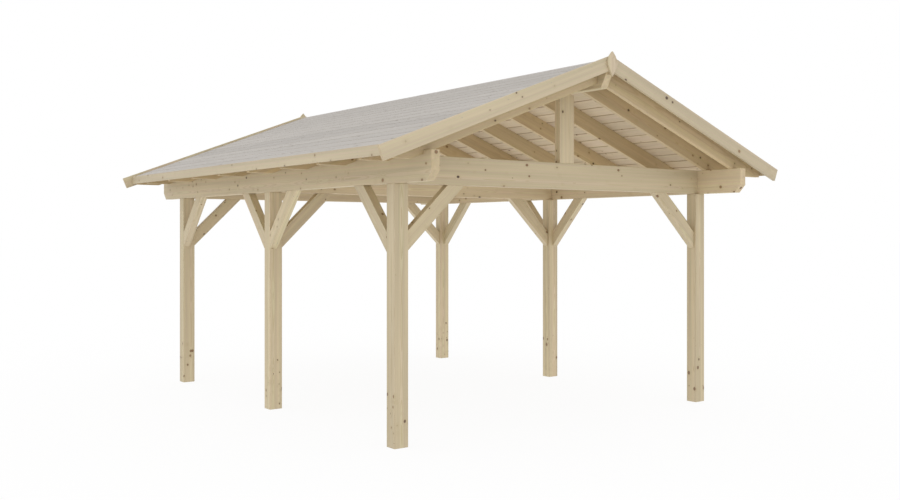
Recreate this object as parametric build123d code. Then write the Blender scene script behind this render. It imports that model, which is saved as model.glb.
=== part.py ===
from build123d import *

import os
from math import cos, radians, sin, tan

# An open timber carport: six posts, a braced frame and a boarded gable roof. Lengths in millimetres.
# The origin is on the ground in the middle of the posts. +X runs across, +Y from the front gable to
# the back gable, +Z up.

# Posts, counted between their centre lines
post_width = 120.0
post_height = 2020.0
post_spacing_across = 3300.0
post_spacing_along = 2285.0

# Roof slopes, and how far the roof runs past the post centres at each gable
roof_pitch = 21.8
gable_overhang = 585.0

# Eaves beams, flush with the outer faces of the posts
eaves_beam_thickness = 70.0
eaves_beam_depth = 225.0
eaves_chamfer_height = 70.0
eaves_chamfer_length = 70.0

# Tie beams, in line with the post centres
tie_beam_thickness = 70.0

# King posts between the tie beams and the ridge beam
king_post_width = 160.0
king_post_thickness = 70.0

# Ridge beam
ridge_beam_thickness = 70.0
ridge_beam_drop = 57.0
ridge_chamfer_height = 105.0
ridge_chamfer_length = 65.0

# Knee braces, measured out from the post and down from the beam, at forty-five degrees
brace_upper_reach = 372.0
brace_lower_reach = 528.0
tie_brace_thickness = 70.0

# Rafters, in pairs: evenly spaced ones and one more near each gable. Insets are from the roof's end.
rafter_thickness = 45.0
rafter_depth = 150.0
spaced_rafter_pairs = 8
spaced_rafter_inset = 460.0
end_rafter_inset = 130.0
eaves_overhang = 325.0
tail_soffit_drop = 68.0

# Roof boards
board_thickness = 20.0

# Fascia boards on the rafter tails
fascia_thickness = 20.0
fascia_depth = 80.0

# Barge boards on the gables
barge_width = 115.0
barge_thickness = 28.0
barge_rise = 23.0
barge_overhang = 115.0

# Finials on the barge boards: leaves with a neck under the upper tip, widest about half way down
finial_thickness = 20.0
finial_tip_rise = 32.0
finial_height = 210.0
finial_width = 104.0
finial_neck_share = 0.6
finial_neck_depth_share = 0.18
finial_widest_top_share = 0.38
finial_widest_bottom_share = 0.54

# Values that follow from the sizes above
slope = tan(radians(roof_pitch))
along_slope = cos(radians(roof_pitch))
across_slope = sin(radians(roof_pitch))
beam_top = post_height + eaves_beam_depth
beam_outer = post_spacing_across / 2 + post_width / 2
beam_inner = beam_outer - eaves_beam_thickness
tail_end = beam_outer + eaves_overhang
tail_soffit = beam_top - tail_soffit_drop
roof_end = post_spacing_along + gable_overhang
roof_length = 2 * roof_end

sides = {"left": -1, "right": 1}
rows = {"front": -post_spacing_along, "middle": 0.0, "back": post_spacing_along}


def rafter_underside(reach):
    """Height of the rafters' lower edge at a distance out from the ridge."""
    return beam_top + (beam_inner - reach) * slope


def rafter_top(reach):
    """Height of the rafters' upper edge, under the boards."""
    return rafter_underside(reach) + rafter_depth / along_slope


def boards_top(reach):
    """Height of the upper face of the roof boards."""
    return rafter_top(reach) + board_thickness / along_slope


ridge_bottom = rafter_underside(0) - ridge_beam_drop
barge_apex = boards_top(0) + barge_rise


def prism_along_y(points, start, length):
    """A bar with the outline given as X and Z, running along Y from its start."""
    outline = Pos(0, start, 0) * (Plane.XZ * Polygon(*points, align=None))
    return extrude(outline, amount=length, dir=(0, 1, 0))


def prism_along_x(points, start, length):
    """A bar with the outline given as Y and Z, running along X from its start."""
    outline = Pos(start, 0, 0) * (Plane.YZ * Polygon(*points, align=None))
    return extrude(outline, amount=length, dir=(1, 0, 0))


def turned_to(side, points):
    """The outline of the right slope, or the same turned over to the left one."""
    return [(side * reach, height) for reach, height in points]


def post(side, row):
    """A square post standing on the ground."""
    body = Box(post_width, post_width, post_height, align=(Align.CENTER, Align.CENTER, Align.MIN))
    return Pos(side * post_spacing_across / 2, row, 0) * body


def eaves_beam(side):
    """A beam along the eaves with the lower corner of both ends taken off."""
    cut_back = roof_end - eaves_chamfer_length
    cut_up = post_height + eaves_chamfer_height
    half = [(roof_end, beam_top), (roof_end, cut_up), (cut_back, post_height)]
    other = [(-along, height) for along, height in reversed(half)]
    return prism_along_x(half + other, min(side * beam_inner, side * beam_outer), eaves_beam_thickness)


def tie_beam(row):
    """A beam across the carport, between the eaves beams and on the inner part of the posts."""
    corners = [
        (-beam_inner, post_height),
        (beam_inner, post_height),
        (beam_inner, beam_top),
        (-beam_inner, beam_top),
    ]
    return prism_along_y(corners, row - tie_beam_thickness / 2, tie_beam_thickness)


def king_post(row):
    """An upright from the tie beam to the underside of the ridge beam."""
    body = Box(
        king_post_width,
        king_post_thickness,
        ridge_bottom - beam_top,
        align=(Align.CENTER, Align.CENTER, Align.MIN),
    )
    return Pos(0, row, beam_top) * body


def ridge_beam():
    """The ridge beam, its top planed to both slopes and the lower corner of both ends taken off."""
    half = ridge_beam_thickness / 2
    section = [
        (-half, ridge_bottom),
        (half, ridge_bottom),
        (half, rafter_top(half)),
        (0, rafter_top(0)),
        (-half, rafter_top(half)),
    ]
    body = prism_along_y(section, -roof_end, roof_length)
    for end in (-1, 1):
        corner = [
            (end * roof_end, ridge_bottom),
            (end * roof_end, ridge_bottom + ridge_chamfer_height),
            (end * (roof_end - ridge_chamfer_length), ridge_bottom),
        ]
        body -= prism_along_x(corner, -half, ridge_beam_thickness)
    return body


def brace_outline(foot, direction):
    """A knee brace from a post face at the foot, rising to the beam in the direction given."""
    return [
        (foot, post_height - brace_lower_reach),
        (foot + direction * brace_lower_reach, post_height),
        (foot + direction * brace_upper_reach, post_height),
        (foot, post_height - brace_upper_reach),
    ]


def tie_brace(side, row):
    """The brace from a post to the tie beam over it."""
    foot = side * (post_spacing_across / 2 - post_width / 2)
    return prism_along_y(brace_outline(foot, -side), row - tie_brace_thickness / 2, tie_brace_thickness)


def eaves_brace(side, row, direction):
    """The brace from a post to the eaves beam over it, as thick as the beam."""
    foot = row + direction * post_width / 2
    start = min(side * beam_inner, side * beam_outer)
    return prism_along_x(brace_outline(foot, direction), start, eaves_beam_thickness)


def post_braces(side, row):
    """All the braces of one post: none of those along the eaves points out past the gables."""
    braces = [tie_brace(side, row)]
    for direction in (-1, 1):
        if abs(row + direction * post_spacing_along) <= post_spacing_along:
            braces.append(eaves_brace(side, row, direction))
    return Compound(braces)


def rafter(side, along):
    """A rafter from the ridge beam, notched over the eaves beam, with a level soffit at its tail."""
    head = ridge_beam_thickness / 2
    outline = [
        (head, rafter_underside(head)),
        (beam_inner, beam_top),
        (beam_outer, beam_top),
        (beam_outer, rafter_underside(beam_outer)),
        (beam_inner + tail_soffit_drop / slope, tail_soffit),
        (tail_end, tail_soffit),
        (tail_end, rafter_top(tail_end)),
        (head, rafter_top(head)),
    ]
    return prism_along_y(turned_to(side, outline), along - rafter_thickness / 2, rafter_thickness)


def rafter_positions():
    """Distances along the roof of all the rafter pairs, from the front to the back."""
    first = spaced_rafter_inset - roof_end
    spacing = -2 * first / (spaced_rafter_pairs - 1)
    spaced = [first + number * spacing for number in range(spaced_rafter_pairs)]
    end = roof_end - end_rafter_inset
    return [-end] + spaced + [end]


def roof_deck(side):
    """The roof boards of one slope, meeting those of the other in a plumb joint at the ridge."""
    outline = [
        (0, rafter_top(0)),
        (tail_end, rafter_top(tail_end)),
        (tail_end, boards_top(tail_end)),
        (0, boards_top(0)),
    ]
    return prism_along_y(turned_to(side, outline), -roof_end, roof_length)


def fascia(side):
    """The board on the rafter tails, its top level with the edge of the roof boards."""
    top = boards_top(tail_end)
    outer = tail_end + fascia_thickness
    outline = [(tail_end, top - fascia_depth), (outer, top - fascia_depth), (outer, top), (tail_end, top)]
    return prism_along_y(turned_to(side, outline), -roof_end, roof_length)


def barge_board(side, end):
    """A board on the slope of one gable, mitred at the ridge and cut square below the eaves."""
    lower = tail_end + barge_overhang
    lower_height = barge_apex - lower * slope
    outline = [
        (0, barge_apex),
        (lower, lower_height),
        (lower - barge_width * across_slope, lower_height - barge_width * along_slope),
        (0, barge_apex - barge_width / along_slope),
    ]
    start = min(end * roof_end, end * (roof_end + barge_thickness))
    return prism_along_y(turned_to(side, outline), start, barge_thickness)


def finial(end):
    """The pointed board over the joint of two barge boards."""
    tip = barge_apex + finial_tip_rise
    half = finial_width / 2
    edge = [
        (half * finial_neck_share, tip - finial_height * finial_neck_depth_share),
        (half, tip - finial_height * finial_widest_top_share),
        (half, tip - finial_height * finial_widest_bottom_share),
    ]
    outline = [(0, tip)] + edge + [(0, tip - finial_height)] + turned_to(-1, reversed(edge))
    face = roof_end + barge_thickness
    start = min(end * face, end * (face + finial_thickness))
    return prism_along_y(outline, start, finial_thickness)


def nodes():
    """Every named piece of the carport."""
    named = {"ridge_beam": ridge_beam()}
    for side_name, side in sides.items():
        named[f"eaves_beam_{side_name}"] = eaves_beam(side)
        named[f"roof_deck_{side_name}"] = roof_deck(side)
        named[f"eaves_fascia_{side_name}"] = fascia(side)
    for row_name, row in rows.items():
        named[f"tie_beam_{row_name}"] = tie_beam(row)
        named[f"king_post_{row_name}"] = king_post(row)
        for side_name, side in sides.items():
            named[f"post_{row_name}_{side_name}"] = post(side, row)
            named[f"braces_{row_name}_{side_name}"] = post_braces(side, row)
    for number, along in enumerate(rafter_positions(), start=1):
        named[f"rafter_pair_{number:02d}"] = Compound([rafter(side, along) for side in sides.values()])
    for end_name, end in (("front", -1), ("back", 1)):
        named[f"finial_{end_name}"] = finial(end)
        for side_name, side in sides.items():
            named[f"barge_board_{end_name}_{side_name}"] = barge_board(side, end)
    return named


os.makedirs("parts", exist_ok=True)
for name, shape in nodes().items():
    export_step(shape, f"parts/{name}.step")
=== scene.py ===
"""Looks of an open timber carport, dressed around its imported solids. Lengths in metres."""

import logging
import math
import random
from collections.abc import Iterator, Sequence
from dataclasses import dataclass, replace
from enum import Enum

import bmesh
import bpy
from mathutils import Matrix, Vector


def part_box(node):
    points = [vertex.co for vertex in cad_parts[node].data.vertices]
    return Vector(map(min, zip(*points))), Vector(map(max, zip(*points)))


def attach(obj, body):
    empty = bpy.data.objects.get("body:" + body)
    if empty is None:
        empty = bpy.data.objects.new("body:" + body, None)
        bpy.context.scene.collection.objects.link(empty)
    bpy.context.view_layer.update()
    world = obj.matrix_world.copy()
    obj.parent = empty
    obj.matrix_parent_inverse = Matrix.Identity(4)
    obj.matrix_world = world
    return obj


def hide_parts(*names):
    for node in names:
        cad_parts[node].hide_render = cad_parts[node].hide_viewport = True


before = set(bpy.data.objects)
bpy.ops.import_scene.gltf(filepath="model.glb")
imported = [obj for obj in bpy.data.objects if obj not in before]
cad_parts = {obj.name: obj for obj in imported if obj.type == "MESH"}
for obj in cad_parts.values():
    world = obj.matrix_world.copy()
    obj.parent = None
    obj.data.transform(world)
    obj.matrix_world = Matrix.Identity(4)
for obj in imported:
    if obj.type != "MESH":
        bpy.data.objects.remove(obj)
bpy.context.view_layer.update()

ROOT_BODY = "root"
GRAIN = "grain"
CHARACTER = "character"
# Face attribute: painted shade in the board joints
PAINTED_JOINT_SHADE = "soiling"
END_GRAIN = "end_grain"
log = logging.getLogger("carport")

Colour = tuple[float, float, float]
Socket = bpy.types.NodeSocket
Value = Socket | float | Sequence[float]

# How often the wood's figure changes, per metre: along the grain and in the two directions across it
FIBRES = (9.0, 620.0, 620.0)
STREAKS = (0.55, 30.0, 30.0)
SWAY = (0.9, 0.0, 0.0)
WAVER = (1.6, 16.0, 16.0)
WOBBLE = (90.0, 90.0, 90.0)

# How many finer layers the figure has
FIBRE_LAYERS = 3.0
STREAK_LAYERS = 4.0
PLAIN_LAYERS = 1.0

# How many zones apart the figures of two timbers may lie, and how far apart a log's whorls of knots grow
ZONES_APART = 50.0
WHORLS_APART = 2.4

# Corners this near are one, faces this nearly in line are one, and a bevel of this profile is round
SAME_CORNER = 1e-5
FLAT_ANGLE = math.radians(1)
ROUND_PROFILE = 0.5


class Slot(Enum):
    """Names of the material slots."""

    FRAME_TIMBER = "frame_timber"
    RAFTERS = "rafters"
    ROOF_BOARDS = "roof_boards"
    TRIM_BOARDS = "trim_boards"


class Cut(Enum):
    """How a timber was sawn: least and greatest distance of the log's heart from its middle."""

    BOXED_HEART = (0.005, 0.03)
    SPLIT_HEART = (0.04, 0.09)
    SIDE_BOARD = (0.05, 0.12)


class Direction(Enum):
    """A choice whose name is a word in the names of nodes and pieces."""

    @property
    def word(self) -> str:
        """That word."""
        return self.name.lower()


class Side(Direction):
    """The two slopes, by the sign of their X."""

    LEFT = -1
    RIGHT = 1


class Gable(Direction):
    """The two gables, by the sign of their Y."""

    FRONT = -1
    BACK = 1


class HeadShape(Enum):
    """Heads as rings, from the sunk underside to the top: radius at odd and even corners, and height."""

    STAR_SCREW = (
        (0.0020, 0.0020, -0.0030),
        (0.0045, 0.0045, 0.0),
        (0.0041, 0.0041, 0.0005),
        (0.0024, 0.0016, 0.0005),
        (0.0021, 0.0013, 0.0001),
    )
    FLAT_NAIL = (
        (0.0015, 0.0015, -0.0030),
        (0.0033, 0.0033, 0.0),
        (0.0029, 0.0029, 0.0004),
    )


class Graph:
    """Adds nodes to a node tree and joins them."""

    def __init__(self, tree: bpy.types.NodeTree) -> None:
        """Starts from an empty tree.

        Args:
            tree: The node tree of a material or of the world.
        """
        self.tree = tree
        tree.nodes.clear()

    def node(self, kind: str, **settings: object) -> bpy.types.Node:
        """Adds a node.

        Args:
            kind: The node's type, without its ShaderNode prefix.
            settings: Properties to set on it.

        Returns:
            The new node.
        """
        made = self.tree.nodes.new("ShaderNode" + kind)
        for name, value in settings.items():
            setattr(made, name, value)
        return made

    def feed(self, socket: Socket, value: Value) -> None:
        """Joins a socket to another one, or sets it to a constant.

        Args:
            socket: The input to feed.
            value: An output socket, a number or a list of numbers.
        """
        if isinstance(value, bpy.types.NodeSocket):
            self.tree.links.new(value, socket)
        elif socket.type == "RGBA":
            socket.default_value = (*value, 1.0)
        else:
            socket.default_value = value

    def math(self, operation: str, *values: Value) -> Socket:
        """One step of arithmetic on numbers.

        Args:
            operation: The name of a Math operation.
            values: Its inputs, in order.

        Returns:
            The result's socket.
        """
        step = self.node("Math", operation=operation)
        for socket, value in zip(step.inputs, values):
            self.feed(socket, value)
        return step.outputs[0]

    def noise(self, place: Socket, stretch: Sequence[float], layers: float = 2.0) -> Socket:
        """Soft noise about one half, stretched by direction.

        Args:
            place: Where the noise is read.
            stretch: Its frequency in each direction, per metre.
            layers: How many finer layers it has.

        Returns:
            The noise's number.
        """
        texture = self.node("TexNoise")
        self.feed(texture.inputs["Vector"], self.stretched(place, stretch))
        texture.inputs["Scale"].default_value = 1.0
        texture.inputs["Detail"].default_value = layers
        return texture.outputs[0]

    def ripple(self, value: Socket) -> Socket:
        """Soft noise about one half along a single number.

        Args:
            value: The number that the noise runs along.

        Returns:
            The noise's number.
        """
        texture = self.node("TexNoise", noise_dimensions="1D")
        self.feed(texture.inputs["W"], value)
        texture.inputs["Scale"].default_value = 1.0
        return texture.outputs[0]

    def stretched(self, place: Socket, stretch: Sequence[float]) -> Socket:
        """A place scaled differently in its three directions.

        Args:
            place: The place.
            stretch: The factor in each direction.

        Returns:
            The scaled place.
        """
        scaled = self.node("VectorMath", operation="MULTIPLY")
        self.feed(scaled.inputs[0], place)
        self.feed(scaled.inputs[1], stretch)
        return scaled.outputs[0]

    def attribute(self, name: str, output: str) -> Socket:
        """Reads one of the mesh's named attributes.

        Args:
            name: The attribute's name.
            output: The node's output to read it from.

        Returns:
            That output.
        """
        return self.node("Attribute", attribute_name=name).outputs[output]

    def parts(self, vector: Socket) -> tuple[Socket, Socket, Socket]:
        """The three numbers of a vector.

        Args:
            vector: The vector's socket.

        Returns:
            Its numbers.
        """
        split = self.node("SeparateXYZ")
        self.feed(split.inputs[0], vector)
        return tuple(split.outputs)

    def scale(self, colour: Socket, factor: Socket) -> Socket:
        """A colour made lighter or darker.

        Args:
            colour: The colour.
            factor: What all its channels are multiplied by.

        Returns:
            The scaled colour.
        """
        scaled = self.node("VectorMath", operation="SCALE")
        self.feed(scaled.inputs[0], colour)
        self.feed(scaled.inputs["Scale"], factor)
        return scaled.outputs[0]

    def remap(self, value: Socket, low: Value, high: Value, start: float = 0.0, end: float = 1.0) -> Socket:
        """A smooth step from one number to another as a value rises.

        Args:
            value: The value that rises.
            low: Where the step begins.
            high: Where it ends.
            start: The number before the step.
            end: The number after it.

        Returns:
            The stepped number.
        """
        step = self.node("MapRange", interpolation_type="SMOOTHSTEP")
        for socket, given in zip(step.inputs, (value, low, high, start, end)):
            self.feed(socket, given)
        return step.outputs[0]

    def blend(self, share: Value, first: Value, second: Value, mode: str = "MIX") -> Socket:
        """A mix of two colours.

        Args:
            share: How much of the second colour.
            first: The colour underneath.
            second: The colour on top.
            mode: The way of blending.

        Returns:
            The mixed colour.
        """
        mixed = self.node("Mix", data_type="RGBA", blend_type=mode)
        inputs = [socket for socket in mixed.inputs if socket.type == "RGBA"]
        self.feed(mixed.inputs[0], share)
        self.feed(inputs[0], first)
        self.feed(inputs[1], second)
        return next(socket for socket in mixed.outputs if socket.type == "RGBA")

    def show(self, shader: bpy.types.Node, target: str = "OutputMaterial") -> None:
        """Makes a shader the surface of the material or the world.

        Args:
            shader: The shader's node.
            target: The type of the output node.
        """
        self.feed(self.node(target).inputs["Surface"], shader.outputs[0])


@dataclass(frozen=True)
class Knots:
    """Knots of a log: how far apart they grow, their sizes, their parts and whorls, and their colours."""

    spacing: float = 0.092
    largest: float = 0.0205
    smallest_share: float = 0.4
    stretch: float = 0.8
    wobble: float = 0.004
    bend: float = 0.0065
    core_share: float = 0.78
    core_strength: float = 0.92
    halo_reach: float = 2.6
    halo_strength: float = 0.4
    palest: float = 0.22
    in_whorls: bool = False
    whorl_edges: tuple[float, float] = (0.80, 0.93)
    whorl_growth: float = 1.2
    between_whorls: float = 0.3
    dead_edges: tuple[float, float] = (0.55, 0.68)
    wood: Colour = (0.25, 0.128, 0.04)
    dead_wood: Colour = (0.055, 0.018, 0.001)
    rim: Colour = (0.085, 0.034, 0.006)


@dataclass(frozen=True)
class Spruce:
    """Planed, untreated spruce as a solid texture: growth rings round a heart, fibres, streaks and knots."""

    name: str
    sap_wood: Colour
    heart_wood: Colour
    summer_wood: Colour
    weathered: Colour | None = None
    weathered_summer: Colour = (0.345, 0.33, 0.315)
    weathered_knot: Colour = (0.19, 0.15, 0.12)
    weathered_share: float = 0.85
    weather_edges: tuple[float, float] = (0.5, 0.9)
    # Colour multiplied into the board joints: painted shade in the gaps
    soil: Colour = (0.46, 0.35, 0.24)
    end_tint: Colour = (0.94, 0.90, 0.84)
    knots: Knots = Knots()
    ring_width: float = 0.0042
    ring_strength: float = 0.42
    spring_end: float = 0.35
    summer_start: float = 0.88
    summer_end: float = 0.93
    zone_width: float = 0.013
    zone_edges: tuple[float, float] = (0.35, 0.65)
    streak_strength: float = 0.25
    fibre_strength: float = 0.06
    heart_sway: float = 0.05
    ring_waver: float = 0.010
    roughness: float = 0.58
    fibre_roughness: float = 0.16
    knot_gloss: float = 0.12
    shine: float = 0.7
    relief: float = 0.00035
    relief_strength: float = 0.5

    def material(self) -> bpy.types.Material:
        """Builds the node material.

        Returns:
            The material.
        """
        made = bpy.data.materials.new(self.name)
        made.use_nodes = True
        graph = Graph(made.node_tree)
        place = graph.attribute(GRAIN, "Vector")
        tone, warmth, knottiness = graph.parts(graph.attribute(CHARACTER, "Vector"))
        halo, rim, core, dead = self.knot_shares(graph, place, knottiness)
        from_heart = self.from_heart(graph, place, halo)
        rings = self.rings(graph, from_heart)
        fibres = graph.noise(place, FIBRES, FIBRE_LAYERS)
        lightness = self.lightness(graph, place, fibres, tone)

        colour = graph.blend(self.zones(graph, from_heart, warmth), self.sap_wood, self.heart_wood)
        summer = self.summer_wood
        knot_wood = graph.blend(dead, self.knots.wood, self.knots.dead_wood)
        if self.weathered:
            exposed = self.exposed(graph)
            colour = graph.blend(exposed, colour, self.weathered)
            summer = graph.blend(exposed, summer, self.weathered_summer)
            knot_wood = graph.blend(exposed, knot_wood, self.weathered_knot)
        colour = graph.blend(graph.math("MULTIPLY", rings, self.ring_strength), colour, summer)
        colour = graph.scale(colour, lightness)
        colour = graph.blend(graph.math("MULTIPLY", halo, self.knots.halo_strength), colour, summer)
        colour = graph.blend(rim, colour, self.knots.rim)
        colour = graph.blend(core, colour, knot_wood)
        colour = graph.blend(graph.attribute(END_GRAIN, "Fac"), colour, self.end_tint, "MULTIPLY")
        # Painted shade: the faces of the board joints are multiplied darker
        colour = graph.blend(graph.attribute(PAINTED_JOINT_SHADE, "Fac"), colour, self.soil, "MULTIPLY")

        shader = graph.node("BsdfPrincipled")
        shader.inputs["Specular IOR Level"].default_value = self.shine
        graph.feed(shader.inputs["Base Color"], colour)
        graph.feed(shader.inputs["Roughness"], self.dullness(graph, fibres, rim))
        graph.feed(shader.inputs["Normal"], self.bump(graph, fibres, rings, rim))
        graph.show(shader)
        return made

    def knot_shares(self, graph: Graph, place: Socket, knottiness: Socket) -> tuple[Socket, ...]:
        """Knots strewn through the log, no two alike in size and darkness.

        Args:
            graph: The material's graph.
            place: The grain coordinate.
            knottiness: How knotty the timber is.

        Returns:
            Shares from nought to one: the bent grain round a knot, its dark rim, its browner core, and
            whether it is dead, with a core that is nearly black.
        """
        kind = self.knots
        across = 1.0 / kind.spacing
        cells = graph.node("TexVoronoi", feature="F1")
        graph.feed(cells.inputs["Vector"], graph.stretched(place, (kind.stretch * across, across, across)))
        cells.inputs["Scale"].default_value = 1.0
        own = graph.node("SeparateColor")
        graph.feed(own.inputs[0], cells.outputs["Color"])
        size = graph.remap(own.outputs[0], 0.0, 1.0, kind.smallest_share, 1.0)
        darkness = graph.remap(own.outputs[1], 0.0, 1.0, kind.palest, 1.0)
        distance = graph.math("MULTIPLY", cells.outputs["Distance"], kind.spacing)
        uneven = graph.noise(place, WOBBLE, PLAIN_LAYERS)
        distance = graph.math("MULTIPLY_ADD", uneven, kind.wobble, distance)
        radius = graph.math("MULTIPLY", graph.math("MULTIPLY", size, knottiness), kind.largest)
        if kind.in_whorls:
            radius = graph.math("MULTIPLY", radius, self.whorls(graph, place))
        inner = graph.math("MULTIPLY", radius, kind.core_share)
        halo = graph.remap(distance, 0.0, graph.math("MULTIPLY", radius, kind.halo_reach), 1.0, 0.0)
        rim = graph.math("MULTIPLY", graph.remap(distance, inner, radius, 1.0, 0.0), darkness)
        core_edge = graph.math("MULTIPLY", inner, kind.core_share)
        core = graph.remap(distance, core_edge, inner, kind.core_strength, 0.0)
        dead = graph.remap(own.outputs[2], *kind.dead_edges)
        return halo, rim, core, dead

    def whorls(self, graph: Graph, place: Socket) -> Socket:
        """How large the knots grow along the log: large in a whorl, small between two of them.

        Args:
            graph: The material's graph.
            place: The grain coordinate.

        Returns:
            A factor for their size.
        """
        kind = self.knots
        along = graph.parts(place)[0]
        wave = graph.math("COSINE", graph.math("MULTIPLY", along, math.tau / WHORLS_APART))
        return graph.remap(wave, *kind.whorl_edges, kind.between_whorls, kind.whorl_growth)

    def from_heart(self, graph: Graph, place: Socket, halo: Socket) -> Socket:
        """Distance from the log's heart, which sways along its length and bends round the knots.

        Args:
            graph: The material's graph.
            place: The grain coordinate.
            halo: One at a knot, nought away from it.

        Returns:
            The distance.
        """
        across, through = graph.parts(place)[1:]
        sway = graph.noise(place, SWAY, PLAIN_LAYERS)
        across = graph.math("MULTIPLY_ADD", sway, self.heart_sway, across)
        squared = graph.math("MULTIPLY_ADD", across, across, graph.math("MULTIPLY", through, through))
        distance = graph.math("SQRT", squared)
        distance = graph.math("MULTIPLY_ADD", graph.noise(place, WAVER), self.ring_waver, distance)
        return graph.math("MULTIPLY_ADD", halo, self.knots.bend, distance)

    def rings(self, graph: Graph, from_heart: Socket) -> Socket:
        """Growth rings: pale spring wood that darkens to a summer line, then starts again.

        Args:
            graph: The material's graph.
            from_heart: The distance from the heart.

        Returns:
            Nought in spring wood, one in summer wood.
        """
        year = graph.math("FRACT", graph.math("DIVIDE", from_heart, self.ring_width))
        summer = graph.remap(year, self.spring_end, self.summer_start)
        return graph.math("SUBTRACT", summer, graph.remap(year, self.summer_end, 1.0))

    def zones(self, graph: Graph, from_heart: Socket, warmth: Socket) -> Socket:
        """Runs of years that grew pinker or yellower: the broad figure that shows from afar.

        Args:
            graph: The material's graph.
            from_heart: The distance from the heart.
            warmth: The timber's own number, so that no two have the same years.

        Returns:
            Nought in yellow wood, one in pink wood.
        """
        zone = graph.math("DIVIDE", from_heart, self.zone_width)
        zone = graph.math("MULTIPLY_ADD", warmth, ZONES_APART, zone)
        return graph.remap(graph.ripple(zone), *self.zone_edges)

    def lightness(self, graph: Graph, place: Socket, fibres: Socket, tone: Socket) -> Socket:
        """How light the wood is: long streaks, fine fibres and the timber's own tone.

        Args:
            graph: The material's graph.
            place: The grain coordinate.
            fibres: The fibres' noise.
            tone: The timber's own tone.

        Returns:
            A factor about one.
        """
        # Noise lies about one half, so it is doubled to swing as far up as down
        streaks = graph.noise(place, STREAKS, STREAK_LAYERS)
        darkest = 1.0 - self.streak_strength - self.fibre_strength
        light = graph.math("MULTIPLY_ADD", streaks, 2 * self.streak_strength, darkest)
        light = graph.math("MULTIPLY_ADD", fibres, 2 * self.fibre_strength, light)
        return graph.math("MULTIPLY", light, tone)

    def dullness(self, graph: Graph, fibres: Socket, rim: Socket) -> Socket:
        """Roughness: duller where fibres stand up, glossier on hard knots.

        Args:
            graph: The material's graph.
            fibres: The fibres' noise.
            rim: One on a knot.

        Returns:
            The roughness.
        """
        least = self.roughness - self.fibre_roughness / 2
        rough = graph.math("MULTIPLY_ADD", fibres, self.fibre_roughness, least)
        return graph.math("MULTIPLY_ADD", rim, -self.knot_gloss, rough)

    def bump(self, graph: Graph, fibres: Socket, rings: Socket, rim: Socket) -> Socket:
        """Relief of a planed face: fibres and hard summer lines stand up, knots dish a little.

        Args:
            graph: The material's graph.
            fibres: The fibres' noise.
            rings: One on summer lines.
            rim: One on a knot.

        Returns:
            The normal.
        """
        height = graph.math("SUBTRACT", graph.math("ADD", fibres, rings), rim)
        bump = graph.node("Bump")
        bump.inputs["Strength"].default_value = self.relief_strength
        bump.inputs["Distance"].default_value = self.relief
        graph.feed(bump.inputs["Height"], height)
        return bump.outputs[0]

    def exposed(self, graph: Graph) -> Socket:
        """How grey the wood has gone: on faces that look up to the weather, and not on others."""
        height = graph.parts(graph.node("NewGeometry").outputs["Normal"])[2]
        return graph.remap(height, *self.weather_edges, 0.0, self.weathered_share)


@dataclass(frozen=True)
class Zinc:
    """Bright plated steel of screw and nail heads, dulled a little."""

    name: str = "zinc_plate"
    bright: Colour = (0.56, 0.53, 0.44)
    dull: Colour = (0.34, 0.31, 0.25)
    spots: float = 900.0
    spot_edges: tuple[float, float] = (0.2, 0.8)
    smoothest: float = 0.35
    roughest: float = 0.55

    def material(self) -> bpy.types.Material:
        """Builds the node material.

        Returns:
            The material.
        """
        made = bpy.data.materials.new(self.name)
        made.use_nodes = True
        graph = Graph(made.node_tree)
        place = graph.node("TexCoord").outputs["Object"]
        mottle = graph.noise(place, (self.spots,) * 3)
        shader = graph.node("BsdfPrincipled")
        shader.inputs["Metallic"].default_value = 1.0
        graph.feed(shader.inputs["Base Color"], graph.blend(mottle, self.bright, self.dull))
        rough = graph.remap(mottle, *self.spot_edges, self.smoothest, self.roughest)
        graph.feed(shader.inputs["Roughness"], rough)
        graph.show(shader)
        return made


FRAME_SPRUCE = Spruce(
    name="frame_spruce",
    sap_wood=(0.588, 0.505, 0.314),
    heart_wood=(0.606, 0.488, 0.329),
    summer_wood=(0.445, 0.345, 0.172),
    shine=0.85,
)
POST_SPRUCE = replace(
    FRAME_SPRUCE,
    name="post_spruce",
    knots=Knots(spacing=0.056, largest=0.0195, palest=0.45, dead_edges=(0.85, 1.0), in_whorls=True),
    ring_strength=0.5,
    streak_strength=0.33,
)
# Painted bounce light: a lighter, more golden copy of the frame spruce for timbers deep in the shade under
# the roof, standing in for warm light bounced between them
BOUNCE_LIT_SPRUCE = Spruce(
    name="golden_spruce",
    sap_wood=(0.654, 0.556, 0.356),
    heart_wood=(0.654, 0.523, 0.361),
    summer_wood=(0.51, 0.39, 0.21),
)
# Darker and more saturated than the frame spruce: painted shade on the rafters, which lie in the shade under
# the roof
RAFTER_SPRUCE = Spruce(
    name="rafter_spruce",
    sap_wood=(0.568, 0.457, 0.256),
    heart_wood=(0.568, 0.435, 0.265),
    summer_wood=(0.43, 0.315, 0.152),
    knots=Knots(largest=0.0185, dead_edges=(0.7, 0.85)),
)
TRIM_SPRUCE = Spruce(
    name="trim_spruce",
    sap_wood=(0.546, 0.47, 0.303),
    heart_wood=(0.56, 0.454, 0.317),
    summer_wood=(0.42, 0.325, 0.18),
    shine=0.85,
)
# Its sap and heart colours are lighter than the frame spruce's: painted light on the boards' undersides,
# which lie in the shade under the roof
ROOF_SPRUCE = Spruce(
    name="roof_spruce",
    sap_wood=(0.643, 0.546, 0.377),
    heart_wood=(0.643, 0.523, 0.391),
    summer_wood=(0.508, 0.40, 0.25),
    weathered=(0.479, 0.464, 0.452),
    knots=Knots(largest=0.017, core_strength=0.7, palest=0.15, dead_edges=(0.9, 1.0)),
    ring_strength=0.48,
    streak_strength=0.18,
    relief=0.0006,
    roughness=0.8,
    shine=0.4,
)


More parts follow.
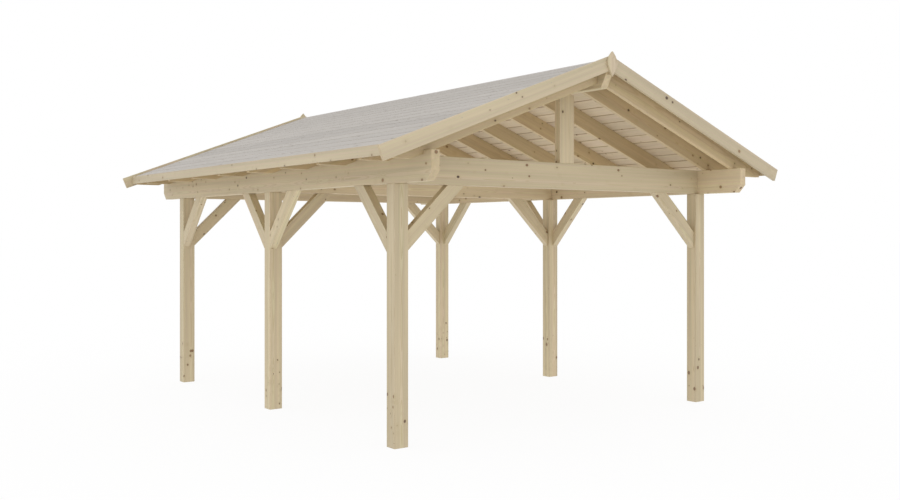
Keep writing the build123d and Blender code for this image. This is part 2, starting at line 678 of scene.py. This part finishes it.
class Grain:
    """The grain of one timber: its direction, its place in the log and its own character."""

    longest_log = 40.0
    steep = 0.9
    tones = (0.93, 1.06)
    warmths = (0.3, 1.0)
    knottiness = (0.75, 1.1)

    def __init__(
        self, name: str, middle: Vector, along: Vector, cut: Cut, whorl: float | None = None
    ) -> None:
        """Draws the timber's place in the log from its name, so that it is the same on every run.

        Args:
            name: The timber's name.
            middle: The middle of the timber.
            along: The direction of its grain.
            cut: How it was sawn.
            whorl: Where a whorl of knots is, along the grain from the middle, or None to leave it to chance.
        """
        chance = random.Random(name)
        self.middle = middle
        self.along = along.normalized()
        helper = Vector((0, 0, 1)) if abs(self.along.z) < self.steep else Vector((1, 0, 0))
        self.across = self.along.cross(helper).normalized()
        self.through = self.along.cross(self.across)
        away = chance.uniform(*cut.value)
        turn = chance.uniform(0, math.tau)
        self.heart = (away * math.cos(turn), away * math.sin(turn))
        self.start = chance.uniform(0, self.longest_log)
        if whorl is not None:
            self.start = round(self.start / WHORLS_APART) * WHORLS_APART - whorl
        ranges = (self.tones, self.warmths, self.knottiness)
        self.character = tuple(chance.uniform(*limits) for limits in ranges)

    def coordinate(self, point: Vector) -> tuple[float, float, float]:
        """Where a point lies in the log.

        Args:
            point: The point in the carport's frame.

        Returns:
            The distance along the grain, and two distances from the heart.
        """
        offset = point - self.middle
        return (
            self.start + offset.dot(self.along),
            offset.dot(self.across) - self.heart[0],
            offset.dot(self.through) - self.heart[1],
        )


class PieceMesh:
    """Gathers timbers into one mesh, with the grain and character of each at its points."""

    end_slant = 0.6

    def __init__(self, name: str) -> None:
        """Starts an empty piece.

        Args:
            name: The piece's name.
        """
        self.name = name
        self.points: list[Vector] = []
        self.faces: list[list[int]] = []
        self.rounded: list[bool] = []
        self.soiled: list[float] = []
        self.cut_across: list[float] = []
        self.grains: list[float] = []
        self.characters: list[float] = []

    def add(self, solid: bmesh.types.BMesh, grain: Grain) -> None:
        """Takes in a timber and frees its bmesh.

        Args:
            solid: The timber's shape; smooth faces are its eased edges, and it may give each face a share of
                painted shade for the board joints.
            grain: Its grain.
        """
        first = len(self.points)
        soiling = solid.faces.layers.float.get(PAINTED_JOINT_SHADE)
        solid.verts.index_update()
        solid.normal_update()
        for vert in solid.verts:
            self.points.append(vert.co.copy())
            self.grains.extend(grain.coordinate(vert.co))
            self.characters.extend(grain.character)
        for face in solid.faces:
            self.faces.append([first + vert.index for vert in face.verts])
            self.rounded.append(face.smooth)
            self.soiled.append(face[soiling] if soiling else 0.0)
            self.cut_across.append(float(abs(face.normal.dot(grain.along)) > self.end_slant))
        solid.free()

    def finish(self, material: bpy.types.Material, slot: Slot, node: str) -> None:
        """Makes the object, dresses it and sets it on the frame in place of a solid.

        Args:
            material: Its finish.
            slot: The slot of that finish; not used.
            node: The solid that it replaces.
        """
        mesh = bpy.data.meshes.new(self.name)
        mesh.from_pydata(self.points, [], self.faces)
        mesh.polygons.foreach_set("use_smooth", self.rounded)
        for name, numbers in ((GRAIN, self.grains), (CHARACTER, self.characters)):
            layer = mesh.attributes.new(name, "FLOAT_VECTOR", "POINT")
            layer.data.foreach_set("vector", numbers)
        for name, numbers in ((PAINTED_JOINT_SHADE, self.soiled), (END_GRAIN, self.cut_across)):
            layer = mesh.attributes.new(name, "FLOAT", "FACE")
            layer.data.foreach_set("value", numbers)
        piece = set_on_frame(self.name, mesh, material)
        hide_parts(node)


class HeadMesh:
    """Gathers the heads of screws or nails into one mesh."""

    corners = 12

    def __init__(self, name: str, shape: HeadShape) -> None:
        """Starts an empty piece.

        Args:
            name: The piece's name.
            shape: The heads' shape.
        """
        self.name = name
        self.shape = shape
        self.chance = random.Random(name)
        self.points: list[Vector] = []
        self.faces: list[list[int]] = []

    def add(self, place: Vector, out: Vector) -> None:
        """Sets one head in the wood, turned as it came to rest.

        Args:
            place: Where its axis meets the face of the wood.
            out: The direction straight out of that face.
        """
        first = len(self.points)
        count = self.corners
        right = out.orthogonal().normalized()
        ahead = out.cross(right)
        start = self.chance.uniform(0, math.tau)
        for odd, even, height in self.shape.value:
            for number in range(count):
                turn = start + math.tau * number / count
                radius = odd if number % 2 else even
                offset = right * (radius * math.cos(turn)) + ahead * (radius * math.sin(turn))
                self.points.append(place + offset + out * height)
        levels = len(self.shape.value)
        self.faces.append([first + number for number in reversed(range(count))])
        self.faces.append([first + (levels - 1) * count + number for number in range(count)])
        for level in range(levels - 1):
            low = first + level * count
            for number in range(count):
                after = (number + 1) % count
                self.faces.append([low + number, low + after, low + count + after, low + count + number])

    def finish(self, material: bpy.types.Material) -> None:
        """Makes the object and sets it on the frame.

        Args:
            material: Its finish.
        """
        mesh = bpy.data.meshes.new(self.name)
        mesh.from_pydata(self.points, [], self.faces)
        set_on_frame(self.name, mesh, material)


def set_on_frame(name: str, mesh: bpy.types.Mesh, material: bpy.types.Material) -> bpy.types.Object:
    """Links a mesh as a piece that rides on the carport.

    Args:
        name: The piece's name.
        mesh: Its mesh, in the carport's frame.
        material: Its finish.

    Returns:
        The piece.
    """
    mesh.materials.append(material)
    piece = bpy.data.objects.new(name, mesh)
    bpy.context.scene.collection.objects.link(piece)
    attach(piece, ROOT_BODY)
    log.info("%s: %d faces of %s", name, len(mesh.polygons), material.name)
    return piece


def clean_solids(node: str) -> Iterator[bmesh.types.BMesh]:
    """The solids of a node, each with flat faces whole.

    Args:
        node: The node's name.

    Returns:
        A bmesh for each solid.
    """
    whole = bmesh.new()
    whole.from_mesh(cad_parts[node].data)
    bmesh.ops.remove_doubles(whole, verts=whole.verts, dist=SAME_CORNER)
    bmesh.ops.dissolve_limit(whole, angle_limit=FLAT_ANGLE, verts=whole.verts, edges=whole.edges)
    left = set(whole.faces)
    while left:
        solid = bmesh.new()
        corners = {}
        for face in sorted(take_island(left), key=lambda face: face.index):
            for vert in face.verts:
                if vert not in corners:
                    corners[vert] = solid.verts.new(vert.co)
            solid.faces.new([corners[vert] for vert in face.verts])
        solid.normal_update()
        yield solid
    whole.free()


def take_island(left: set[bmesh.types.BMFace]) -> set[bmesh.types.BMFace]:
    """Takes the faces of one solid out of those of several.

    Args:
        left: The faces not taken yet; the solid's are removed.

    Returns:
        The solid's faces.
    """
    island = set()
    waiting = [min(left, key=lambda face: face.index)]
    while waiting:
        face = waiting.pop()
        if face in left:
            left.discard(face)
            island.add(face)
            waiting.extend(other for edge in face.edges for other in edge.link_faces)
    return island


def ease_edges(solid: bmesh.types.BMesh, radius: float, steps: int) -> None:
    """Rounds all the edges of a solid, inwards, and marks the new faces smooth.

    Args:
        solid: The solid.
        radius: How far each edge is rounded.
        steps: How many faces round an edge.
    """
    made = bmesh.ops.bevel(
        solid,
        geom=list(solid.edges),
        offset=radius,
        offset_type="OFFSET",
        segments=steps,
        profile=ROUND_PROFILE,
        affect="EDGES",
        clamp_overlap=True,
    )
    for face in made["faces"]:
        face.smooth = True


def middle_of(solid: bmesh.types.BMesh) -> Vector:
    """The middle of a solid's corners."""
    return sum((vert.co for vert in solid.verts), Vector()) / len(solid.verts)


def longest_edge(edges: Sequence[bmesh.types.BMEdge]) -> Vector:
    """The longest of some edges, from end to end."""
    longest = max(edges, key=lambda edge: edge.calc_length())
    return longest.verts[1].co - longest.verts[0].co


def nodes_named(*starts: str) -> list[str]:
    """The nodes whose names start in one of the ways given, in order."""
    return sorted(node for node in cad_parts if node.startswith(starts))


@dataclass
class Timbers:
    """Timbers of one kind, each made anew from its solid with eased edges."""

    starts: tuple[str, ...]
    finish: bpy.types.Material
    slot: Slot
    cut: Cut
    eased: float = 0.003
    ease_steps: int = 3
    upright_grain: bool = False
    whorl_height: float | None = None

    def build(self) -> None:
        """Makes one piece for each node of this kind."""
        for node in nodes_named(*self.starts):
            piece = PieceMesh("timber_" + node)
            for number, solid in enumerate(clean_solids(node)):
                middle = middle_of(solid)
                grain = Grain(f"{node} {number}", middle, self.along(solid), self.cut, self.whorl(middle))
                ease_edges(solid, self.eased, self.ease_steps)
                piece.add(solid, grain)
            piece.finish(self.finish, self.slot, node)

    def along(self, solid: bmesh.types.BMesh) -> Vector:
        """The direction of a solid's grain: upright, or that of its longest edge."""
        return Vector((0, 0, 1)) if self.upright_grain else longest_edge(solid.edges)

    def whorl(self, middle: Vector) -> float | None:
        """How far over its middle a timber has a whorl of knots, or None where that is left to chance."""
        return None if self.whorl_height is None else self.whorl_height - middle.z


@dataclass(frozen=True)
class Slope:
    """One slope of the roof, measured on the solid that the boards replace."""

    side: Side
    pitch: float
    ridge_height: float
    thickness: float
    length: float
    front: float
    back: float

    @classmethod
    def measure(cls, side: Side) -> "Slope":
        """Reads the slope of one side from its solid.

        Args:
            side: The side.

        Returns:
            The slope.
        """
        same_place = 0.001
        corners = [vert.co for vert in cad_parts[cls.node_of(side)].data.vertices]
        reach = max(abs(corner.x) for corner in corners)
        ridge = [corner.z for corner in corners if abs(corner.x) < same_place]
        eaves = [corner.z for corner in corners if abs(corner.x) > reach - same_place]
        pitch = math.atan2(min(ridge) - min(eaves), reach)
        return cls(
            side=side,
            pitch=pitch,
            ridge_height=min(ridge),
            thickness=(max(ridge) - min(ridge)) * math.cos(pitch),
            length=reach / math.cos(pitch),
            front=min(corner.y for corner in corners),
            back=max(corner.y for corner in corners),
        )

    @staticmethod
    def node_of(side: Side) -> str:
        """The name of a slope's solid."""
        return f"roof_deck_{side.word}"

    @property
    def outward(self) -> Vector:
        """The direction straight out of the boards."""
        return Vector((self.side.value * math.sin(self.pitch), 0.0, math.cos(self.pitch)))

    def point(self, distance: float, height: float, along: float) -> Vector:
        """A place on the slope.

        Args:
            distance: How far down the slope from the ridge.
            height: How far off the rafters.
            along: Its Y.

        Returns:
            The place in the carport's frame.
        """
        level, rise = math.cos(self.pitch), math.sin(self.pitch)
        reach = distance * level + height * rise
        return Vector((self.side.value * reach, along, self.ridge_height - distance * rise + height * level))


@dataclass
class RoofBoards:
    """Tongued boards on both slopes, laid from the eaves up, with a ripped one at the ridge."""

    finish: bpy.types.Material
    cover: float = 0.150
    upper_gap: float = 0.004
    lower_gap: float = 0.001
    vee: float = 0.0065
    tongue_length: float = 0.010
    tongue_thickness: float = 0.006
    groove_clearance: float = 0.0005
    # Share of painted joint shade on the vee chamfers
    vee_soiling: float = 0.55

    def build(self) -> None:
        """Makes the boards of each slope as one piece."""
        for side in Side:
            slope = Slope.measure(side)
            node = Slope.node_of(side)
            piece = PieceMesh(f"boards_{side.word}_slope")
            for number, (upper, lower) in enumerate(self.places(slope)):
                solid = self.board(slope, upper, lower)
                grain = Grain(f"{node} board {number}", middle_of(solid), Vector((0, 1, 0)), Cut.SIDE_BOARD)
                piece.add(solid, grain)
            piece.finish(self.finish, Slot.ROOF_BOARDS, node)

    def places(self, slope: Slope) -> Iterator[tuple[float, float]]:
        """Upper and lower edge of every board, measured down the slope from the ridge.

        Args:
            slope: The slope that they lie on.

        Returns:
            The pairs of distances, from the eaves up.
        """
        lower = slope.length
        upper = lower - self.cover - self.tongue_length
        while upper > 0:
            yield upper, lower
            lower = upper
            upper -= self.cover
        yield 0.0, lower

    def board(self, slope: Slope, upper: float, lower: float) -> bmesh.types.BMesh:
        """One board: a groove in its upper edge and a tongue on its lower one, with vee joints underneath.

        Args:
            slope: The slope that it lies on.
            upper: Where its upper edge is, down the slope.
            lower: Where its lower edge is.

        Returns:
            Its shape.
        """
        thick = slope.thickness
        tongue_low = (thick - self.tongue_thickness) / 2
        tongue_high = tongue_low + self.tongue_thickness
        plumb = thick * math.tan(slope.pitch)
        if upper == 0:
            outline = [(0.0, 0.0), (-plumb, thick)]
        else:
            clear = self.groove_clearance
            bottom = upper + self.tongue_length + clear
            outline = [
                (upper + self.lower_gap + self.vee, 0.0),
                (upper + self.lower_gap, self.vee),
                (upper + self.lower_gap, tongue_low - clear),
                (bottom, tongue_low - clear),
                (bottom, tongue_high + clear),
                (upper + self.upper_gap, tongue_high + clear),
                (upper + self.upper_gap, thick),
            ]
        if lower == slope.length:
            outline += [(lower - plumb, thick), (lower, 0.0)]
        else:
            tip = lower + self.tongue_length
            outline += [
                (lower, thick),
                (lower, tongue_high),
                (tip, tongue_high),
                (tip, tongue_low),
                (lower, tongue_low),
                (lower, self.vee),
                (lower - self.vee, 0.0),
            ]
        return self.extrude(slope, outline)

    def extrude(self, slope: Slope, outline: Sequence[tuple[float, float]]) -> bmesh.types.BMesh:
        """Runs a board's outline along the roof and gives its faces their share of painted shade in the
        joints.

        Args:
            slope: The slope that it lies on.
            outline: Its corners, as distance down the slope and height off the rafters.

        Returns:
            Its shape.
        """
        solid = bmesh.new()
        soiling = solid.faces.layers.float.new(PAINTED_JOINT_SHADE)
        near = [solid.verts.new(slope.point(*corner, slope.front)) for corner in outline]
        far = [solid.verts.new(slope.point(*corner, slope.back)) for corner in outline]
        solid.faces.new(near)
        solid.faces.new(list(reversed(far)))
        for number, corner in enumerate(outline):
            after = (number + 1) % len(outline)
            face = solid.faces.new([near[number], far[number], far[after], near[after]])
            face[soiling] = self.soiling_between(corner[1], outline[after][1], slope.thickness)
        bmesh.ops.recalc_face_normals(solid, faces=solid.faces)
        return solid

    def soiling_between(self, first: float, second: float, thickness: float) -> float:
        """How much painted shade a board's face gets, darkening the joints where shade falls: least on the
        broad faces, most on the walls of the joints.

        Args:
            first: Height of one edge of the face off the rafters.
            second: Height of its other edge.
            thickness: The board's thickness.

        Returns:
            A share from nought to one.
        """
        if first == second and first in (0.0, thickness):
            return 0.0
        if {first, second} == {0.0, self.vee}:
            return self.vee_soiling
        return 1.0


@dataclass
class Fixings:
    """Screws of the trim and the braces, and nails of the roof boards."""

    finish: bpy.types.Material
    boards: RoofBoards
    barge_spacing: float = 0.45
    fascia_inset: float = 0.018
    brace_end: float = 0.075
    brace_half_gap: float = 0.018
    brace_underside: float = -0.5
    nail_inset: float = 0.03

    def build(self) -> None:
        """Makes the heads of each kind as one piece."""
        slopes = [Slope.measure(side) for side in Side]
        for slope in slopes:
            self.roof_nails(slope)
        self.barge_screws(slopes)
        self.fascia_screws(slopes)
        self.brace_screws()

    @staticmethod
    def rafter_lines() -> list[float]:
        """Y of the middle of every pair of rafters."""
        return [sum(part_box(node), Vector()).y / 2 for node in nodes_named("rafter_pair")]

    def roof_nails(self, slope: Slope) -> None:
        """Two nails through every board into every rafter of one slope.

        Args:
            slope: The slope.
        """
        nails = HeadMesh(f"nails_{slope.side.word}_slope", HeadShape.FLAT_NAIL)
        for upper, lower in self.boards.places(slope):
            for distance in (upper + self.nail_inset, lower - self.nail_inset):
                for along in self.rafter_lines():
                    nails.add(slope.point(distance, slope.thickness, along), slope.outward)
        nails.finish(self.finish)

    def barge_screws(self, slopes: Sequence[Slope]) -> None:
        """Screws through the barge boards into the ends of the roof boards.

        Args:
            slopes: The two slopes.
        """
        screws = HeadMesh("screws_barge_boards", HeadShape.STAR_SCREW)
        for gable in Gable:
            for slope in slopes:
                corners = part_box(f"barge_board_{gable.word}_{slope.side.word}")
                face = corners[0].y if gable is Gable.FRONT else corners[1].y
                for number in range(int(slope.length / self.barge_spacing)):
                    distance = number * self.barge_spacing + self.barge_spacing / 2
                    place = slope.point(distance, slope.thickness / 2, face)
                    screws.add(place, Vector((0, gable.value, 0)))
        screws.finish(self.finish)

    def fascia_screws(self, slopes: Sequence[Slope]) -> None:
        """Two screws through the fascia boards into every rafter tail.

        Args:
            slopes: The two slopes.
        """
        screws = HeadMesh("screws_fascia_boards", HeadShape.STAR_SCREW)
        tail_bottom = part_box(nodes_named("rafter_pair")[0])[0].z
        for slope in slopes:
            sign = slope.side.value
            low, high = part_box(f"eaves_fascia_{slope.side.word}")
            face = high.x if sign > 0 else low.x
            heights = (
                max(low.z, tail_bottom) + self.fascia_inset,
                high.z - slope.thickness - self.fascia_inset,
            )
            for along in self.rafter_lines():
                for height in heights:
                    screws.add(Vector((face, along, height)), Vector((sign, 0, 0)))
        screws.finish(self.finish)

    def brace_screws(self) -> None:
        """Two screws at each end of every brace, through its lower face into the post or the beam."""
        screws = HeadMesh("screws_braces", HeadShape.STAR_SCREW)
        for node in nodes_named("braces"):
            for solid in clean_solids(node):
                undersides = [face for face in solid.faces if face.normal.z < self.brace_underside]
                lower = max(undersides, key=lambda face: face.calc_area())
                length = longest_edge(lower.edges)
                reach = length.normalized() * (length.length / 2 - self.brace_end)
                aside = lower.normal.cross(length).normalized() * self.brace_half_gap
                for end in (-1, 1):
                    for edge in (-1, 1):
                        place = lower.calc_center_median() + end * reach + edge * aside
                        screws.add(place, lower.normal.copy())
                solid.free()
        screws.finish(self.finish)


@dataclass
class Studio:
    """Floor, white surroundings and the camera where the photograph was taken from."""

    camera_place: tuple[float, float, float] = (-5.63330, -9.19746, 1.64444)
    camera_yaw: float = 40.7204
    lens: float = 40.920
    sensor: float = 36.0
    shift_across: float = -0.15777
    shift_up: float = -0.01947
    floor_reach: float = 200.0
    sight: float = 800.0
    floor_tone: float = 0.90
    floor_glow: float = 0.91
    floor_light: float = 0.85
    dome_strength: float = 1.0

    def build(self) -> None:
        """Sets up the floor, the light and the camera."""
        self.floor()
        self.surroundings()
        self.camera()
        bpy.context.scene.view_settings.view_transform = "Standard"

    def floor(self) -> None:
        """A plain white floor that shows white to the camera and keeps the carport's soft shadow."""
        reach = self.floor_reach
        corners = [(-reach, -reach, 0), (reach, -reach, 0), (reach, reach, 0), (-reach, reach, 0)]
        mesh = bpy.data.meshes.new("floor")
        mesh.from_pydata(corners, [], [(0, 1, 2, 3)])
        mesh.materials.append(self.floor_white())
        floor = bpy.data.objects.new("floor", mesh)
        bpy.context.scene.collection.objects.link(floor)

    def floor_white(self) -> bpy.types.Material:
        """The floor's finish: what lights the carport, and what the camera sees.

        Returns:
            The material.
        """
        material = bpy.data.materials.new("floor_white")
        material.use_nodes = True
        graph = Graph(material.node_tree)
        glow = graph.node("Emission")
        whole = graph.node("MixShader")
        graph.feed(whole.inputs[0], self.seen(graph))
        layers = ((self.floor_tone, self.floor_light), (1.0, self.floor_glow))
        for number, (tone, share) in enumerate(layers, start=1):
            plain = graph.node("BsdfDiffuse")
            plain.inputs["Color"].default_value = (tone, tone, tone, 1.0)
            layer = graph.node("MixShader")
            layer.inputs[0].default_value = share
            graph.feed(layer.inputs[1], plain.outputs[0])
            graph.feed(layer.inputs[2], glow.outputs[0])
            graph.feed(whole.inputs[number], layer.outputs[0])
        graph.show(whole)
        return material

    @staticmethod
    def seen(graph: Graph) -> Socket:
        """Tells the rays that the camera sees from those that light the carport.

        Args:
            graph: The material's graph.

        Returns:
            One for rays that the camera sees straight, in gloss or through glass, and nought for others.
        """
        path = graph.node("LightPath")
        first = graph.math("MAXIMUM", path.outputs["Is Camera Ray"], path.outputs["Is Glossy Ray"])
        return graph.math("MAXIMUM", first, path.outputs["Is Transmission Ray"])

    def surroundings(self) -> None:
        """White all round."""
        world = bpy.data.worlds.new("white_room")
        world.use_nodes = True
        graph = Graph(world.node_tree)
        dome = graph.node("Background")
        dome.inputs["Color"].default_value = (1.0, 1.0, 1.0, 1.0)
        dome.inputs["Strength"].default_value = self.dome_strength
        graph.show(dome, "OutputWorld")
        bpy.context.scene.world = world

    def camera(self) -> None:
        """A level camera; the shift stands for the crop of the picture."""
        data = bpy.data.cameras.new("camera")
        data.lens = self.lens
        data.sensor_width = self.sensor
        data.shift_x = self.shift_across
        data.shift_y = self.shift_up
        data.clip_end = self.sight
        camera = bpy.data.objects.new("camera", data)
        camera.location = self.camera_place
        level = math.radians(90)
        camera.rotation_euler = (level, 0, -math.radians(self.camera_yaw))
        bpy.context.scene.collection.objects.link(camera)
        bpy.context.scene.camera = camera


def main() -> None:
    """Builds every piece of the carport, then the studio round it."""
    logging.basicConfig(level=logging.INFO, format="%(name)s: %(message)s")
    post_wood = POST_SPRUCE.material()
    frame_wood = FRAME_SPRUCE.material()
    bounce_lit_wood = BOUNCE_LIT_SPRUCE.material()
    rafter_wood = RAFTER_SPRUCE.material()
    trim_wood = TRIM_SPRUCE.material()
    boards = RoofBoards(ROOF_SPRUCE.material())
    plain_frame = ("eaves_beam_left", "tie_beam_front", "king_post_front", "ridge_beam", "braces")
    # Timbers under the roof that get the lighter copy of the frame spruce: painted bounce light
    bounce_lit_frame = (
        "eaves_beam_right",
        "tie_beam_middle",
        "tie_beam_back",
        "king_post_middle",
        "king_post_back",
    )
    posts = Timbers(
        ("post_",),
        post_wood,
        Slot.FRAME_TIMBER,
        Cut.BOXED_HEART,
        eased=0.004,
        upright_grain=True,
        whorl_height=0.26,
    )
    parts = [
        posts,
        Timbers(plain_frame, frame_wood, Slot.FRAME_TIMBER, Cut.SPLIT_HEART),
        Timbers(bounce_lit_frame, bounce_lit_wood, Slot.FRAME_TIMBER, Cut.SPLIT_HEART),
        Timbers(("rafter",), rafter_wood, Slot.RAFTERS, Cut.SPLIT_HEART, eased=0.0025),
        boards,
        Timbers(("eaves_fascia", "barge_board"), trim_wood, Slot.TRIM_BOARDS, Cut.SIDE_BOARD, eased=0.002),
        Timbers(("finial",), trim_wood, Slot.TRIM_BOARDS, Cut.SIDE_BOARD, eased=0.002, upright_grain=True),
        Fixings(Zinc().material(), boards),
        Studio(),
    ]
    for part in parts:
        part.build()


if __name__ == "__main__":
    main()
